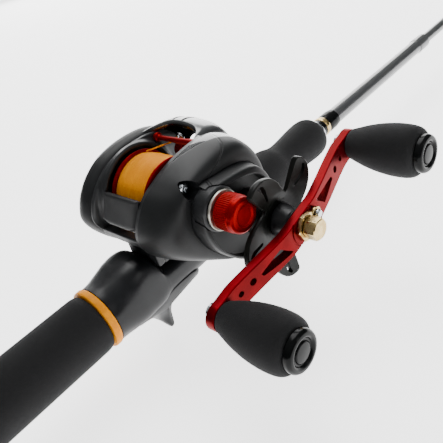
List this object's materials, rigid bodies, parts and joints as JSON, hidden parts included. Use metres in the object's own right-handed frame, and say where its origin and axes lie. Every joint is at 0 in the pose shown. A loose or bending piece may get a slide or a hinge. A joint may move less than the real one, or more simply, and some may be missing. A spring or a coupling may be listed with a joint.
{
  "type": "fishing rod and reel",
  "caption": "Telescopic casting rod with foam grips and a trigger seat, carrying a low-profile baitcasting reel with a double-knob crank.",
  "frame": {"origin": "centre of the butt cap's flat end face, on the rod's axis", "axes": "+Y along the rod from butt to tip, +X to the crank side of the reel, +Z from the rod up to the reel"},
  "size_m": [0.1189, 0.6113, 0.0812],
  "materials": {
    "grip_foam": "matte closed-cell EVA foam, ground",
    "satin_plastic": "satin moulded nylon",
    "gloss_black": "gloss black paint on moulded plastic",
    "red_anodised": "red anodised, turned and satin",
    "bright_steel": "polished steel",
    "gold_metal": "pale gold plated brass",
    "dark_metal": "black coated metal",
    "carbon_blank": "clear-coated carbon fibre tube",
    "orange_trim": "satin orange-yellow enamel",
    "orange_line": "orange braided fishing line",
    "guide_ceramic": "polished dark ceramic"
  },
  "bodies": {
    "rod_handle": {"butt_cap": "satin_plastic", "rear_grip": "grip_foam", "trim_ring": "orange_trim", "base_blank": "carbon_blank", "reel_seat": "satin_plastic", "blank_wrap": "gloss_black", "gold_band": "gold_metal", "blank_sleeve": "gloss_black", "reel_frame": "dark_metal", "left_side_plate": "satin_plastic", "right_side_plate": "satin_plastic", "side_plate_screw": "bright_steel", "top_cowl": "gloss_black", "spool_bearing_left": "bright_steel", "spool_bearing_right": "bright_steel", "pinion_bearing": "bright_steel", "crank_bearing": "bright_steel", "one_way_clutch": "bright_steel", "tension_washer": "bright_steel"},
    "hood": {"sliding_hood": "satin_plastic"},
    "lock": {"lock_nut": "satin_plastic", "fore_grip": "grip_foam", "winding_check": "bright_steel"},
    "second": {"section_2": "carbon_blank", "guide_2": "dark_metal", "guide_2_ring": "guide_ceramic"},
    "third": {"section_3": "carbon_blank", "guide_3": "dark_metal", "guide_3_ring": "guide_ceramic"},
    "fourth": {"section_4": "carbon_blank", "guide_4": "dark_metal", "guide_4_ring": "guide_ceramic"},
    "tip": {"tip_section": "carbon_blank", "tip_top": "dark_metal", "tip_top_ring": "guide_ceramic"},
    "spool": {"spool": "red_anodised", "line_pack": "orange_line", "spool_shaft": "bright_steel", "pinion_gear": "gold_metal"},
    "crank": {"crank_shaft": "bright_steel", "drive_gear": "gold_metal", "wind_gear": "gold_metal", "drag_washers": "dark_metal", "crank_arm": "red_anodised", "nut_retainer": "gold_metal", "crank_nut": "gold_metal", "retainer_screw": "bright_steel", "knob_post_front": "bright_steel", "knob_post_rear": "bright_steel"},
    "star": {"star_drag": "gloss_black"},
    "knob_front": {"knob_front": "grip_foam", "knob_cap_front": "gloss_black"},
    "knob_rear": {"knob_rear": "grip_foam", "knob_cap_rear": "gloss_black"},
    "cap": {"tension_cap": "red_anodised"},
    "thumb": {"thumb_bar": "satin_plastic"},
    "dial": {"brake_dial": "gloss_black"},
    "worm": {"worm_shaft": "bright_steel"},
    "guide": {"line_guide": "red_anodised", "line_strand": "orange_line"}
  },
  "joints": [
    {"name": "crank_turn", "type": "hinge", "parent": "rod_handle", "child": "crank", "pos_m": [0, 0.23983, 0.01762], "axis": [1, 0, 0], "continuous": true},
    {"name": "spool_spin", "type": "hinge", "parent": "rod_handle", "child": "spool", "pos_m": [0, 0.2238, 0.0297], "axis": [1, 0, 0], "continuous": true},
    {"name": "worm_spin", "type": "hinge", "parent": "rod_handle", "child": "worm", "pos_m": [0, 0.24868, 0.036], "axis": [1, 0, 0], "continuous": true},
    {"name": "line_guide_slide", "type": "slide", "parent": "rod_handle", "child": "guide", "axis": [1, 0, 0], "range_m": [-0.0012, 0.0162]},
    {"name": "knob_front_spin", "type": "hinge", "parent": "crank", "child": "knob_front", "pos_m": [0, 0.28476, 0.0275], "axis": [1, 0, 0], "continuous": true},
    {"name": "knob_rear_spin", "type": "hinge", "parent": "crank", "child": "knob_rear", "pos_m": [0, 0.19491, 0.00774], "axis": [1, 0, 0], "continuous": true},
    {"name": "star_drag_turn", "type": "hinge", "parent": "crank", "child": "star", "pos_m": [0, 0.23983, 0.01762], "axis": [1, 0, 0], "range_deg": [-360, 360]},
    {"name": "tension_cap_turn", "type": "hinge", "parent": "rod_handle", "child": "cap", "pos_m": [0, 0.2238, 0.0297], "axis": [1, 0, 0], "range_deg": [-360, 360]},
    {"name": "thumb_bar_press", "type": "slide", "parent": "rod_handle", "child": "thumb", "axis": [0, -0.4695, -0.8829], "range_m": [0, 0.004], "stiffness_N_per_m": 500},
    {"name": "brake_dial_turn", "type": "hinge", "parent": "rod_handle", "child": "dial", "pos_m": [-0.027, 0.2278, 0.027], "axis": [1, 0, 0], "range_deg": [0, 270]},
    {"name": "lock_nut_turn", "type": "hinge", "parent": "hood", "child": "lock", "pos_m": [0, 0.27, 0], "axis": [0, 1, 0], "range_deg": [0, 1080]},
    {"name": "hood_slide", "type": "slide", "parent": "rod_handle", "child": "hood", "axis": [0, 1, 0], "range_m": [0, 0.006]},
    {"name": "section_2_slide", "type": "slide", "parent": "rod_handle", "child": "second", "axis": [0, 1, 0], "range_m": [0, 0.3278]},
    {"name": "section_3_slide", "type": "slide", "parent": "second", "child": "third", "axis": [0, 1, 0], "range_m": [0, 0.3778]},
    {"name": "section_4_slide", "type": "slide", "parent": "third", "child": "fourth", "axis": [0, 1, 0], "range_m": [0, 0.4098]},
    {"name": "tip_section_slide", "type": "slide", "parent": "fourth", "child": "tip", "axis": [0, 1, 0], "range_m": [0, 0.4358]}
  ],
  "couplings": [
    {"joint": "spool_spin", "follows": "crank_turn", "ratio": -6.3},
    {"joint": "worm_spin", "follows": "crank_turn", "ratio": -2.0909},
    {"joint": "hood_slide", "follows": "lock_nut_turn", "m_per_rad": 0.00031831}
  ]
}
